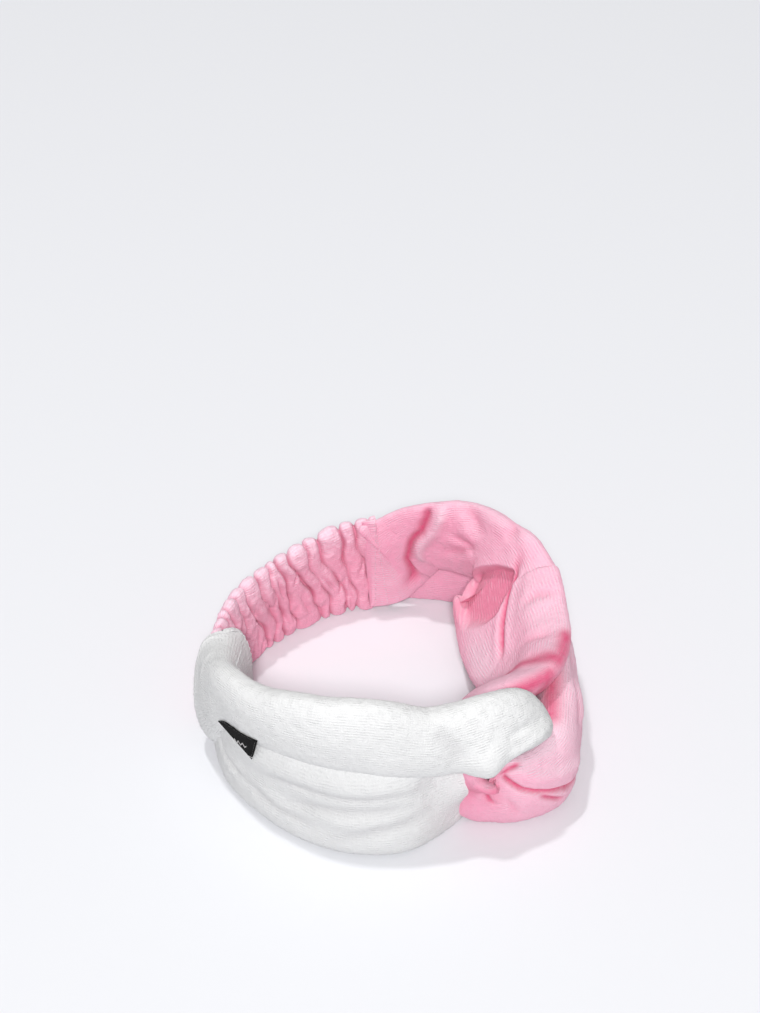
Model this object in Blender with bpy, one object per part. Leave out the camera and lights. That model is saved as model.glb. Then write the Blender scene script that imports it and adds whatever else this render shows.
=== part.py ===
"""Twist-knot spa headband: two interlinked towelling bands joined behind the head by a ruched casing.

Millimetres and degrees below, metres in the scene. +Z is up along the head's axis and the band stands
on its lower edge at z = 0. The knot faces -Y, the ruched casing is at +Y, the white band is on -X and
the pink band on +X. Angles go round the ring from +X towards +Y.
"""
import math

import bmesh
import bpy
import numpy as np

MM = 0.001

# ------------------------------------------------------------------ driving dimensions
RING_CENTRE = (-0.5, 7.8)        # ring axis, so that the whole object's box is centred on the origin
CASING_START, CASING_END = 47.5, 136.5   # angles of the casing's two mouths
CHANNEL_WIDTH, CHANNEL_THICK = 38.0, 5.8
ELASTIC_WIDTH, ELASTIC_THICK = 30.0, 1.4
ELASTIC_TAIL = 6.0              # degrees of elastic sewn in between the two limbs of each band
ELASTIC_END_RADIUS = 74.6
ELASTIC_SECTIONS = 36
THREAD_RADIUS = 0.25
THREAD_GAP = 0.32
VALLEY_HALF, VALLEY_DEPTH = 1.5, 1.9     # the sewn valley that runs along each towelling tube
THREAD_SINK = 0.65
BAND_SECTIONS = 64
BAND_CORNERS = 18
WHITE_SEAM_CORNER = 16          # the corner of each band's section that carries its valley
PINK_SEAM_CORNER = 2
WIDTH_POWER, THICK_POWER = 0.85, 0.8     # how square the padded section is
LABEL_ANGLES = (167.5, 187.0)
LABEL_HEIGHTS = (33.0, 48.0)
LABEL_RADII = (82.6, 86.9)      # the label's inner face leans outwards with height
LABEL_RISE = 3.0                # how much higher its knot end sits
LABEL_THICK = 0.8

# A band is one towelling tube that runs from the casing to the knot, turns round the other band there
# and comes back. Each row is angle, radius, height of the centre, width, thickness and lean of the
# width outwards from upright.
WHITE_ROUTE = (
    (137.8, 79.3, 25, 42, 4.8, 0),      # outer limb, sewn end at the casing
    (142, 79.3, 25.2, 41.6, 5, 0),
    (149, 79.2, 32, 37, 7.4, 2),
    (158, 79, 41.5, 30.6, 10, 0),
    (168, 79.4, 52, 25, 11, 0),
    (183, 79, 56, 26, 14, -4),
    (203, 79, 61.5, 31, 16, -8),
    (220, 77, 61, 33, 17, -10),
    (236, 75, 54.5, 29, 18, -12),
    (248, 76, 55, 28, 17, -18),
    (258, 79, 56.5, 29, 16, -24),
    (267, 81, 54.5, 26, 15, -36),
    (274, 79, 47, 20, 14, -43),
    (277, 70, 34, 16, 14, -45),         # turn round the pink band
    (272, 58, 20, 20, 14, -45),
    (261, 53.5, 13, 30, 12, -38),
    (246, 62.6, 17.4, 41, 11, -22),
    (230, 74, 20.8, 43.5, 13, -10),
    (215, 77, 20.5, 42, 13, -8),
    (200, 75.5, 20.5, 42, 12, -6),
    (183, 75, 20, 41, 11, -5),
    (168, 73, 19.5, 39, 9, -10),
    (157, 69, 21, 41, 8, -10),
    (147, 67.5, 23, 44, 7.4, 0),
    (130, 67.1, 23, 42, 5.2, 0),        # inner limb, lapped over the casing's inner face
)
PINK_ROUTE = (
    (46.8, 79.3, 26, 48, 4.8, 0),       # outer limb
    (44, 79.4, 26.2, 48.6, 4.8, 0),
    (36, 80.5, 28, 54, 8, 0),
    (18, 84, 30, 60, 9, 0),
    (0, 84, 30, 58, 10, 0),
    (-18, 80, 27, 52, 10, 2),
    (-36, 77, 22.5, 45, 11, 2),
    (-54, 77, 21, 42, 13, 0),
    (-70, 82, 19, 39, 15, -2),
    (-82, 86.5, 17.6, 36, 14, -2),
    (-92, 85, 17.4, 36, 15, 10),
    (-99, 79, 17, 33, 14, 32),
    (-103, 67, 29, 18, 14, 45),         # turn round the white band
    (-97, 56.5, 42, 22, 13, 45),
    (-87, 57, 46, 28, 13, 45),
    (-70, 61, 42, 42, 13, 45),
    (-50, 59.5, 37, 50, 12, 46),
    (-30, 57, 34.5, 56, 13, 46),
    (-12, 61, 35.5, 56, 12, 38),
    (4, 69.5, 35, 52, 10, 14),
    (20, 71, 32, 50, 9, 0),
    (38, 67.6, 27, 48, 6.4, 0),
    (53, 67.1, 26, 44, 5.2, 0),         # inner limb, lapped over the casing's inner face
)
CASING_ROUTE = (
    (CASING_START, 75.5, 25.2, 50.6, 8, 0),
    (65, 74, 23.6, 49, 8.6, 0),
    (89, 72.5, 22.0, 46.4, 9.4, 0),
    (112, 74, 21.6, 45.4, 8.8, 0),
    (CASING_END, 75.5, 22.2, 44.8, 8, 0),
)
CASING_SECTIONS = 26
CASING_CORNERS = 14
CASING_SEAM_ANGLE = math.radians(-141)


# ------------------------------------------------------------------ materials
def new_material(name, colour, roughness, metallic=0.0):
    material = bpy.data.materials.new(name)
    material.use_nodes = True
    shader = material.node_tree.nodes["Principled BSDF"]
    shader.inputs["Base Color"].default_value = (*colour, 1.0)
    shader.inputs["Roughness"].default_value = roughness
    shader.inputs["Metallic"].default_value = metallic
    material.diffuse_color = (*colour, 1.0)
    return material


# ------------------------------------------------------------------ routes and sections
def cartesian(angle, radius, height):
    turn = math.radians(angle)
    x = RING_CENTRE[0] + radius * math.cos(turn)
    y = RING_CENTRE[1] + radius * math.sin(turn)
    return np.array((x, y, height))


def smooth_route(route, count):
    """Sample a route at equal steps: x, y, z, width, thickness and lean along a Catmull-Rom curve."""
    rows = np.array([(*cartesian(*row[:3]), *row[3:]) for row in route], float)
    steps = np.sqrt(np.linalg.norm(np.diff(rows[:, :3], axis=0), axis=1))
    knots = np.concatenate(([0.0], np.cumsum(steps)))
    slopes = np.gradient(rows, knots, axis=0)

    def at(value):
        left = int(np.clip(np.searchsorted(knots, value) - 1, 0, len(rows) - 2))
        span = knots[left + 1] - knots[left]
        s = (value - knots[left]) / span
        start = (2 * s**3 - 3 * s**2 + 1) * rows[left] + (s**3 - 2 * s**2 + s) * span * slopes[left]
        end = (3 * s**2 - 2 * s**3) * rows[left + 1] + (s**3 - s**2) * span * slopes[left + 1]
        return start + end

    fine = np.linspace(0.0, knots[-1], 30 * len(rows))
    points = np.array([at(value) for value in fine])
    lengths = np.concatenate(([0.0], np.cumsum(np.linalg.norm(np.diff(points[:, :3], axis=0), axis=1))))
    wanted = np.linspace(0.0, lengths[-1], count)
    return np.array([at(value) for value in np.interp(wanted, lengths, fine)])


def section_frames(samples):
    """Centre, width direction and outward thickness direction of each section."""
    centres = samples[:, :3]
    along = np.gradient(centres, axis=0)
    along /= np.linalg.norm(along, axis=1)[:, None]
    outward = centres - np.array((*RING_CENTRE, 0.0))
    outward[:, 2] = 0.0
    outward /= np.linalg.norm(outward, axis=1)[:, None]
    lean = np.radians(samples[:, 5])[:, None]
    width_way = np.cos(lean) * np.array((0.0, 0.0, 1.0)) + np.sin(lean) * outward
    width_way -= np.sum(width_way * along, axis=1)[:, None] * along
    width_way /= np.linalg.norm(width_way, axis=1)[:, None]
    thick_way = np.cross(along, width_way)
    return centres, width_way, thick_way


def padded_corner(angle, width, thick):
    """A point of the rounded, slightly square section at an angle from the top of its width."""
    up, out = math.cos(angle), math.sin(angle)
    return np.array((
        math.copysign(abs(up)**WIDTH_POWER, up) * width / 2,
        math.copysign(abs(out)**THICK_POWER, out) * thick / 2,
    ))


def corner_frame(angle, width, thick):
    """A point of the section with the section's tangent and outward normal there."""
    place = padded_corner(angle, width, thick)
    tangent = padded_corner(angle + 0.05, width, thick) - padded_corner(angle - 0.05, width, thick)
    tangent /= np.linalg.norm(tangent)
    return place, tangent, np.array((tangent[1], -tangent[0]))


def corner_angle(corner):
    return 2 * math.pi * corner / BAND_CORNERS


def band_outline(width, thick, seam_corner):
    outline = []
    for corner in range(BAND_CORNERS):
        if corner == seam_corner:
            place, tangent, normal = corner_frame(corner_angle(corner), width, thick)
            outline.append(place - tangent * VALLEY_HALF)
            outline.append(place - normal * VALLEY_DEPTH)
            outline.append(place + tangent * VALLEY_HALF)
        else:
            outline.append(padded_corner(corner_angle(corner), width, thick))
    return outline


def plain_outline(width, thick):
    turns = np.arange(CASING_CORNERS) * 2 * math.pi / CASING_CORNERS
    return [padded_corner(turn, width, thick) for turn in turns]


# ------------------------------------------------------------------ mesh helpers
def add_ring(mesh, centre, width_way, thick_way, outline):
    return [mesh.verts.new((centre + width_way * up + thick_way * out) * MM) for up, out in outline]


def bridge(mesh, first, second):
    count = len(first)
    for corner in range(count):
        after = (corner + 1) % count
        mesh.faces.new((first[corner], first[after], second[after], second[corner]))


def finish_mesh(name, mesh, material, sharp_angle=50.0):
    bmesh.ops.recalc_face_normals(mesh, faces=mesh.faces)
    data = bpy.data.meshes.new(name)
    mesh.to_mesh(data)
    mesh.free()
    data.shade_smooth()
    data.set_sharp_from_angle(angle=math.radians(sharp_angle))
    data.materials.append(material)
    thing = bpy.data.objects.new(name, data)
    bpy.context.scene.collection.objects.link(thing)
    return thing


def cut_flat_foot(mesh):
    """Slice off what lies below the table and close the cut with a flat face."""
    bmesh.ops.triangulate(mesh, faces=mesh.faces)
    everything = mesh.verts[:] + mesh.edges[:] + mesh.faces[:]
    cut = bmesh.ops.bisect_plane(
        mesh, geom=everything, dist=1e-7, plane_co=(0, 0, 0), plane_no=(0, 0, -1), clear_outer=True)
    rim = [item for item in cut["geom_cut"] if isinstance(item, bmesh.types.BMEdge)]
    if rim:
        bmesh.ops.triangle_fill(mesh, use_beauty=True, use_dissolve=True, edges=rim, normal=(0, 0, -1))


def add_thread(name, points, material, closed=False):
    """A sewing thread: a round curve through points in millimetres."""
    curve = bpy.data.curves.new(name, "CURVE")
    curve.dimensions = "3D"
    curve.bevel_depth = THREAD_RADIUS * MM
    curve.bevel_resolution = 1
    curve.use_fill_caps = True
    spline = curve.splines.new("POLY")
    spline.points.add(len(points) - 1)
    for spot, point in zip(spline.points, points):
        spot.co = (*(np.asarray(point) * MM), 1.0)
    spline.use_cyclic_u = closed
    curve.materials.append(material)
    thing = bpy.data.objects.new(name, curve)
    bpy.context.scene.collection.objects.link(thing)
    return thing


# ------------------------------------------------------------------ the pieces
def add_band(name, route, seam_corner, material):
    """One towelling tube, closed at its two sewn ends, with its sewn valley and a flat foot."""
    samples = smooth_route(route, BAND_SECTIONS)
    centres, width_way, thick_way = section_frames(samples)
    mesh = bmesh.new()
    rings = []
    for index, sample in enumerate(samples):
        outline = band_outline(sample[3], sample[4], seam_corner)
        rings.append(add_ring(mesh, centres[index], width_way[index], thick_way[index], outline))
    for first, second in zip(rings, rings[1:]):
        bridge(mesh, first, second)
    mesh.faces.new(rings[0])
    mesh.faces.new(rings[-1])
    cut_flat_foot(mesh)
    return finish_mesh(name, mesh, material)


def line_along(route, sections, angle, lift, margin):
    """Points along a route at one angle of its section, lifted off the surface, or sunk if negative."""
    samples = smooth_route(route, sections)
    centres, width_way, thick_way = section_frames(samples)
    points = []
    for index in range(margin, sections - margin):
        place, _, normal = corner_frame(angle, samples[index][3], samples[index][4])
        up, out = place + normal * lift
        points.append(centres[index] + width_way[index] * up + thick_way[index] * out)
    return points


def add_band_seam(name, route, seam_corner, material):
    """The thread that closes a towelling tube, sunk in its valley."""
    points = line_along(route, BAND_SECTIONS, corner_angle(seam_corner), -THREAD_SINK, 1)
    return add_thread(name, points, material)


def add_casing(material):
    """The ruched sleeve over the elastic, open at both mouths."""
    samples = smooth_route(CASING_ROUTE, CASING_SECTIONS)
    centres, width_way, thick_way = section_frames(samples)
    mesh = bmesh.new()
    outer, inner = [], []
    for index, sample in enumerate(samples):
        here = (centres[index], width_way[index], thick_way[index])
        outer.append(add_ring(mesh, *here, plain_outline(sample[3], sample[4])))
        inner.append(add_ring(mesh, *here, plain_outline(CHANNEL_WIDTH, CHANNEL_THICK)))
    for rings in (outer, inner):
        for first, second in zip(rings, rings[1:]):
            bridge(mesh, first, second)
    for end in (0, -1):
        bridge(mesh, outer[end], inner[end])
    cut_flat_foot(mesh)
    return finish_mesh("elastic_casing", mesh, material)


def elastic_route():
    start, end = CASING_START - ELASTIC_TAIL, CASING_END + ELASTIC_TAIL
    rows = [(start, ELASTIC_END_RADIUS, 25), (CASING_START, ELASTIC_END_RADIUS, 25)]
    rows += [(angle, radius, height) for angle, radius, height, *_ in CASING_ROUTE[1:-1]]
    rows += [(CASING_END, ELASTIC_END_RADIUS, 23), (end, ELASTIC_END_RADIUS, 23)]
    return [(*row, ELASTIC_WIDTH, ELASTIC_THICK, 0) for row in rows]


def add_elastic(material):
    samples = smooth_route(elastic_route(), ELASTIC_SECTIONS)
    centres, width_way, thick_way = section_frames(samples)
    up, out = ELASTIC_WIDTH / 2, ELASTIC_THICK / 2
    outline = ((up, -out), (up, out), (-up, out), (-up, -out))
    mesh = bmesh.new()
    rings = [add_ring(mesh, *here, outline) for here in zip(centres, width_way, thick_way)]
    for first, second in zip(rings, rings[1:]):
        bridge(mesh, first, second)
    mesh.faces.new(rings[0])
    mesh.faces.new(rings[-1])
    return finish_mesh("elastic_strip", mesh, material)


def add_bartack(name, middle_angle, height, material):
    """Zigzag of thread that fixes the elastic's tail, on the tail's outer face."""
    rows, half_height, half_swing = 9, 11.0, 1.5
    radius = ELASTIC_END_RADIUS + ELASTIC_THICK / 2 + THREAD_GAP + THREAD_RADIUS
    points = []
    for row in range(rows):
        level = height - half_height + 2 * half_height * row / (rows - 1)
        swing = half_swing if row % 2 else -half_swing
        points.append(cartesian(middle_angle + swing, radius, level))
    return add_thread(name, points, material)


def add_joint_seam(name, angle, levels, radii, material):
    """Topstitching where a band meets the casing: up the inner lap, over the top, down the outside."""
    low, inner_top, outer_top = levels
    inner, outer = radii
    clear = THREAD_GAP + THREAD_RADIUS
    points = [cartesian(angle, inner - clear, low)]
    points.append(cartesian(angle, inner - clear, inner_top - 4))
    turn_steps = 7
    middle, half = (inner + outer) / 2, (outer - inner) / 2 + clear
    for step in range(turn_steps + 1):
        turn = math.pi * step / turn_steps
        rise = 4.5 * math.sin(turn)
        base = inner_top + (outer_top - inner_top) * step / turn_steps
        points.append(cartesian(angle, middle - half * math.cos(turn), base + rise - 2))
    points.append(cartesian(angle, outer + clear, outer_top - 6))
    points.append(cartesian(angle, outer + clear, low))
    return add_thread(name, points, material)


def add_casing_seam(material):
    """The long seam of the casing, low on its inner face."""
    lift = THREAD_GAP + THREAD_RADIUS
    points = line_along(CASING_ROUTE, CASING_SECTIONS, CASING_SEAM_ANGLE, lift, 4)
    return add_thread("casing_seam", points, material)


def label_point(across, up, lift):
    """A point of the label: across and up run from 0 to 1, lift is millimetres off its inner face."""
    angle = LABEL_ANGLES[0] + across * (LABEL_ANGLES[1] - LABEL_ANGLES[0])
    height = LABEL_HEIGHTS[0] + up * (LABEL_HEIGHTS[1] - LABEL_HEIGHTS[0]) + across * LABEL_RISE
    radius = LABEL_RADII[0] + up * (LABEL_RADII[1] - LABEL_RADII[0]) + lift
    return cartesian(angle, radius, height)


def add_label(material):
    columns, rows = 9, 4
    mesh = bmesh.new()
    faces = []
    for lift in (0.0, LABEL_THICK):
        grid = [[mesh.verts.new(label_point(column / (columns - 1), row / (rows - 1), lift) * MM)
                 for row in range(rows)] for column in range(columns)]
        faces.append(grid)
        for column in range(columns - 1):
            for row in range(rows - 1):
                mesh.faces.new((grid[column][row], grid[column + 1][row],
                                grid[column + 1][row + 1], grid[column][row + 1]))
    rims = [label_rim(grid, columns, rows) for grid in faces]
    bridge(mesh, rims[0], rims[1])
    return finish_mesh("woven_label", mesh, material, sharp_angle=30.0)


def label_rim(grid, columns, rows):
    """The outline of a grid of vertices, in order round it."""
    rim = [grid[column][0] for column in range(columns)]
    rim += [grid[-1][row] for row in range(1, rows)]
    rim += [grid[column][-1] for column in range(columns - 2, -1, -1)]
    rim += [grid[0][row] for row in range(rows - 2, 0, -1)]
    return rim


def add_label_stitching(material):
    """The loop of stitches just inside the label's edge."""
    inset_across, inset_up = 0.05, 0.1
    lift = LABEL_THICK + THREAD_GAP + THREAD_RADIUS
    low, high = inset_across, 1 - inset_across
    points = [label_point(spot, inset_up, lift) for spot in np.linspace(low, high, 9)]
    points += [label_point(spot, 1 - inset_up, lift) for spot in np.linspace(high, low, 9)]
    return add_thread("label_stitching", points, material, closed=True)


# ------------------------------------------------------------------ build
def main():
    for thing in list(bpy.data.objects):
        bpy.data.objects.remove(thing)
    white = new_material("white_terry", (0.84, 0.84, 0.84), 0.95)
    pink = new_material("pink_terry", (0.80, 0.44, 0.54), 0.95)
    add_band("white_band", WHITE_ROUTE, WHITE_SEAM_CORNER, white)
    add_band("pink_band", PINK_ROUTE, PINK_SEAM_CORNER, pink)
    add_casing(new_material("pink_casing", (0.72, 0.30, 0.42), 0.95))
    add_elastic(new_material("elastic_webbing", (0.86, 0.84, 0.80), 0.7))
    add_label(new_material("black_woven", (0.012, 0.012, 0.012), 0.6))
    white_thread = new_material("white_thread", (0.86, 0.86, 0.86), 0.55)
    pink_thread = new_material("pink_thread", (0.78, 0.40, 0.52), 0.55)
    black_thread = new_material("black_thread", (0.03, 0.03, 0.03), 0.55)
    add_band_seam("white_band_seam", WHITE_ROUTE, WHITE_SEAM_CORNER, white_thread)
    add_band_seam("pink_band_seam", PINK_ROUTE, PINK_SEAM_CORNER, pink_thread)
    add_casing_seam(pink_thread)
    add_joint_seam("white_joint_seam", 133.5, (6, 43.5, 44.5), (63.9, 79.8), white_thread)
    add_joint_seam("pink_joint_seam", 50.5, (6, 47.5, 50.0), (63.9, 79.8), pink_thread)
    add_bartack("white_end_bartack", CASING_END + ELASTIC_TAIL / 2, 23, white_thread)
    add_bartack("pink_end_bartack", CASING_START - ELASTIC_TAIL / 2, 25, white_thread)
    add_label_stitching(black_thread)


main()
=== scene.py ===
"""Looks of a twist-knot spa headband: two towelling bands looped through each other and a ruched casing."""
import itertools
import math

import bpy
import numpy as np
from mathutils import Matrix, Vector
from mathutils.bvhtree import BVHTree


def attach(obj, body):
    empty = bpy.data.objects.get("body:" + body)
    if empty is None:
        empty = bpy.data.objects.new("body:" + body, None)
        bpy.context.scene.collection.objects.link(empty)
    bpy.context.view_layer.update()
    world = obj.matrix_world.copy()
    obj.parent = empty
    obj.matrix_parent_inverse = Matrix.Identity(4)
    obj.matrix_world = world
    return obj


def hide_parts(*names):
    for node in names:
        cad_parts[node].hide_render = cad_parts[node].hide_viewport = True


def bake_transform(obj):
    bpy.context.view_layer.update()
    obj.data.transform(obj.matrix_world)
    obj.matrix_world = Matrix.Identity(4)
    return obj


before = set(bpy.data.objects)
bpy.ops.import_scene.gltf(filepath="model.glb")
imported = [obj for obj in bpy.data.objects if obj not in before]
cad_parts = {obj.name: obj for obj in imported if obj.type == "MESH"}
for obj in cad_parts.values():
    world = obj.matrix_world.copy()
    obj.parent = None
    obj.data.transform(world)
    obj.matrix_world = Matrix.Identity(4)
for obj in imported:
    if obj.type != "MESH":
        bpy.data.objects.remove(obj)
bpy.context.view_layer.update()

MM = 0.001
RING_CENTRE = (-0.5, 7.8)         # x and y of the ring's middle, in mm
RIB_PITCH = 1.15                  # mm between the velour's ribs
WHITE_SIZE = (860, 176)           # rings along each cloth tube, and points round it
PINK_SIZE = (900, 200)
CASING_SIZE = (520, 200)
CASING_DEGREE = 1.27              # mm along the casing for one degree round the ring
CASING_WALL = 1.25                # mm of cloth between the casing's outside and its channel
PINK_LAP = 8.4                    # mm of the pink band's outer limb laid over the casing, before its s = 0
# the label's corners, as mm along the white band and share round it: two on the roll, one on the lower limb
LABEL_TOP = ((49.7, 0.392), (79.0, 0.355))
LABEL_TIP = (360.0, 0.895)
LABEL_POINTS = (44, 26)           # along its top edge, and down it
LABEL_PATTERN = (23.0, 13.5)      # mm of woven pattern that the label's length and height show
LABEL_THICK = 0.4
SEAM_THREAD, HEM_THREAD = 0.2, 0.12               # thread radii in mm
SEAM_SUNK = 0.45                  # mm that a stitch's ends dive under the cloth
CAMERA_PLACE = (-0.67527, -0.66200, 0.88660)
CAMERA_ELEVATION, CAMERA_AZIMUTH = 38.925, -45.0
CAMERA_LENS = 105.0

# ------------------------------------------------------------------ routes, close to those of the CAD bands
# angle, radius, height of the centre, width, thickness and lean of the width outwards, in mm and degrees
WHITE_ROUTE = (
    (133.0, 71.0, 24.8, 48.6, 23, 0), (139, 70.8, 25.8, 50, 25, 0), (147, 72.0, 31, 47, 24, 2),
    (158, 75.2, 42, 35, 19, 0), (168, 78.0, 52, 27, 14, 0), (183, 79, 56, 27, 14.5, -4),
    (203, 79, 61.0, 32, 16.5, -8), (220, 77, 60.5, 34, 17.5, -10), (236, 75, 54.5, 30, 18.5, -12),
    (248, 76, 55, 29, 17, -18), (258, 79, 56.5, 29, 16, -24), (267, 81, 54.5, 26, 15, -36),
    (274, 79, 47, 20, 14, -43), (277, 70, 34, 16, 14, -45), (272, 58, 20, 20, 14, -45),
    (261, 53.5, 13, 30, 12, -38), (246, 63.0, 17.8, 41.5, 11.5, -22), (230, 76.5, 21.2, 44, 13, -13),
    (215, 79.6, 21, 43.5, 13, -10), (200, 78.0, 21, 43.5, 12, -8), (183, 76.4, 20.4, 42, 12, -6),
    (168, 76.6, 20, 40.5, 11, -5), (157, 74.6, 21, 40, 9, -4), (147, 71.5, 23, 38, 6.4, 0),
    (140, 71.5, 24, 34, 4.0, 0),
)
PINK_ROUTE = (
    (51.5, 81.4, 22.6, 45.4, 3.0, 0), (46.5, 80.9, 22.6, 45.4, 4.0, 0), (42.5, 80.6, 22.6, 45.4, 5.2, 0),
    (36, 81.5, 23, 46.4, 8, 0), (18, 84.0, 25.4, 51, 9.5, 0), (0, 82.5, 25, 50, 10.5, 0),
    (-18, 77.2, 23, 44, 11, 2), (-36, 73.8, 22, 44, 13, 2),
    (-54, 73.8, 22, 44.5, 18, 0), (-70, 79.0, 21.2, 43, 21, -2),
    (-82, 86.4, 19, 39, 18, -2), (-91, 84.6, 18, 37, 15, 2), (-99, 78.8, 17.6, 36, 12, 3),
    (-105.5, 74.2, 18.5, 34, 9.5, 10), (-107, 68.4, 30, 21, 9.5, 38), (-101, 61, 40, 20, 12, 45),
    (-95, 56.5, 43.5, 23, 13, 45), (-87, 57, 46, 28, 13, 45),
    (-70, 61, 42, 42, 13, 45), (-50, 59.5, 37, 50, 12, 46), (-30, 57.4, 36.4, 58, 13, 45),
    (-12, 61.8, 39.6, 60, 12, 39), (-2, 67.4, 46.4, 50, 11, 31), (8, 72.5, 49.6, 37, 10, 15),
    (20, 74.5, 46, 38, 8.5, 3), (33.5, 74.0, 41.6, 36.6, 7.5, 0), (40.5, 73.2, 34.2, 43.4, 6.5, 0),
    (45.5, 71.8, 29.0, 49.8, 5.8, 0), (53, 71.0, 28.2, 50.4, 3.8, 0),
)
CASING_ROUTE = (
    (47.5, 75.5, 26.4, 52.4, 8, 0), (65, 74, 24.2, 50, 8.6, 0), (89, 72.5, 22.0, 46.4, 9.4, 0),
    (112, 74, 21.6, 45.4, 8.8, 0), (136.5, 75.5, 22.2, 44.8, 8, 0),
)


def point_at(angle, radius, height):
    turn = np.radians(angle)
    return np.array((RING_CENTRE[0] + radius * np.cos(turn), RING_CENTRE[1] + radius * np.sin(turn), height))


def walked(points):
    """The length walked along a row of points, at each of them."""
    return np.concatenate(([0.0], np.cumsum(np.linalg.norm(np.diff(points, axis=0), axis=1))))


def smooth_route(route, count):
    """Sample a route at equal steps along a smooth curve: x, y, z, width, thickness, lean."""
    rows = np.array([(*point_at(*row[:3]), *row[3:]) for row in route], float)
    steps = np.sqrt(np.linalg.norm(np.diff(rows[:, :3], axis=0), axis=1))
    knots = np.concatenate(([0.0], np.cumsum(steps)))
    slopes = np.gradient(rows, knots, axis=0)

    def at(values):
        left = np.clip(np.searchsorted(knots, values) - 1, 0, len(rows) - 2)
        reach = (knots[left + 1] - knots[left])[:, None]
        s = (values[:, None] - knots[left][:, None]) / reach
        start = (2 * s**3 - 3 * s**2 + 1) * rows[left] + (s**3 - 2 * s**2 + s) * reach * slopes[left]
        return start + (3 * s**2 - 2 * s**3) * rows[left + 1] + (s**3 - s**2) * reach * slopes[left + 1]

    fine = np.linspace(0.0, knots[-1], 60 * len(rows))
    lengths = walked(at(fine)[:, :3])
    wanted = np.linspace(0.0, lengths[-1], count)
    return at(np.interp(wanted, lengths, fine)), wanted


def frames_along(samples):
    """Centres, and at each the direction of the section's width and of its thickness."""
    centres = samples[:, :3]
    along = np.gradient(centres, axis=0)
    along /= np.linalg.norm(along, axis=1)[:, None]
    outward = centres - np.array((*RING_CENTRE, 0.0))
    outward[:, 2] = 0.0
    outward /= np.linalg.norm(outward, axis=1)[:, None]
    lean = np.radians(samples[:, 5])[:, None]
    up = np.cos(lean) * np.array((0.0, 0.0, 1.0)) + np.sin(lean) * outward
    up -= np.sum(up * along, axis=1)[:, None] * along
    up /= np.linalg.norm(up, axis=1)[:, None]
    return centres, up, np.cross(along, up)


def tube(route, rings, corners, wide=0.85, thick=0.8, shrink=0.0):
    """The smooth tube along a route, as a grid of points with its arc length s and its share v round."""
    samples, s = smooth_route(route, rings)
    centres, up, out = frames_along(samples)
    turns = np.linspace(0.0, 2 * math.pi, 481)
    cos, sin = np.cos(turns), np.sin(turns)
    grid = np.empty((rings, corners, 3))
    round_length = np.empty(rings)
    share = np.arange(corners) / corners
    for index in range(rings):
        a = np.sign(cos) * np.abs(cos)**wide * (samples[index, 3] / 2 - shrink)
        b = np.sign(sin) * np.abs(sin)**thick * (samples[index, 4] / 2 - shrink)
        walk = np.concatenate(([0.0], np.cumsum(np.hypot(np.diff(a), np.diff(b)))))
        round_length[index] = walk[-1]
        spots = share * walk[-1]
        a, b = np.interp(spots, walk, a), np.interp(spots, walk, b)
        grid[index] = centres[index] + up[index] * a[:, None] + out[index] * b[:, None]
    return {"P": grid, "s": s, "v": share, "round": round_length, "N": normals(grid)}


def normals(grid):
    """Outward unit normals of a tube's grid of points."""
    along = np.gradient(grid, axis=0)
    around = np.roll(grid, -1, axis=1) - np.roll(grid, 1, axis=1)
    result = np.cross(around, along)
    result /= np.linalg.norm(result, axis=2)[:, :, None] + 1e-12
    middle = grid.mean(axis=1, keepdims=True)
    if np.mean(np.sum(result * (grid - middle), axis=2)) < 0:
        result = -result
    return result


# ------------------------------------------------------------------ seeded noise and folds
HASH_PRIMES = np.array((73856093, 19349663, 83492791))


def noise(points, scale, seed):
    """Smooth value noise between -1 and 1, one number per point; scale is its wavelength in mm."""
    table = np.random.RandomState(seed).rand(4096) * 2 - 1
    q = points / scale + 1000.0
    cell = np.floor(q).astype(np.int64)
    f = q - cell
    f = f * f * (3 - 2 * f)
    total = 0.0
    for corner in itertools.product((0, 1), repeat=3):
        key = (cell + corner) * HASH_PRIMES
        value = table[(key[..., 0] ^ key[..., 1] ^ key[..., 2]) & 4095]
        total = total + value * np.prod(np.where(corner, f, 1 - f), axis=-1)
    return total


def crumple(points, scale, seed):
    """Noise at three sizes, as soft fabric lies."""
    return (noise(points, scale, seed) + 0.5 * noise(points, scale / 2.1, seed + 1)
            + 0.25 * noise(points, scale / 4.3, seed + 2)) / 1.6


def ramp(value, low, high):
    """0 below low, 1 above high, and a smooth rise between them."""
    t = np.clip((value - low) / (high - low), 0.0, 1.0)
    return t * t * (3 - 2 * t)


def distance_to_line(surface, line):
    """Distance in mm, along the cloth, to a line of (s, v) points, and the share along that line."""
    s, v = np.meshgrid(surface["s"], surface["v"], indexing="ij")
    around = surface["round"][:, None]
    t = v * around
    best = np.full(s.shape, 1e9)
    share = np.zeros(s.shape)
    sides = list(zip(line, line[1:]))
    mean_round = surface["round"].mean()
    lengths = [max(1e-6, math.hypot(s1 - s0, (v1 - v0) * mean_round)) for (s0, v0), (s1, v1) in sides]
    done = 0.0
    for ((s0, v0), (s1, v1)), length in zip(sides, lengths):
        for lap in (-1, 0, 1):
            t0, t1 = (v0 + lap) * around, (v1 + lap) * around
            ds, dt = s1 - s0, t1 - t0
            k = np.clip(((s - s0) * ds + (t - t0) * dt) / (ds * ds + dt * dt + 1e-9), 0, 1)
            d = np.hypot(s - s0 - k * ds, t - t0 - k * dt)
            near = d < best
            best = np.where(near, d, best)
            share = np.where(near, (done + k * length) / sum(lengths), share)
        done += length
    return best, share


def distance_to_spot(surface, spot):
    return distance_to_line(surface, (spot, (spot[0] + 0.01, spot[1])))[0]


def fade_out(share, ends):
    """1 along a line and 0 at its two ends, over the given share of it."""
    return ramp(share, 0.0, ends) * ramp(1 - share, 0.0, ends)


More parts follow.
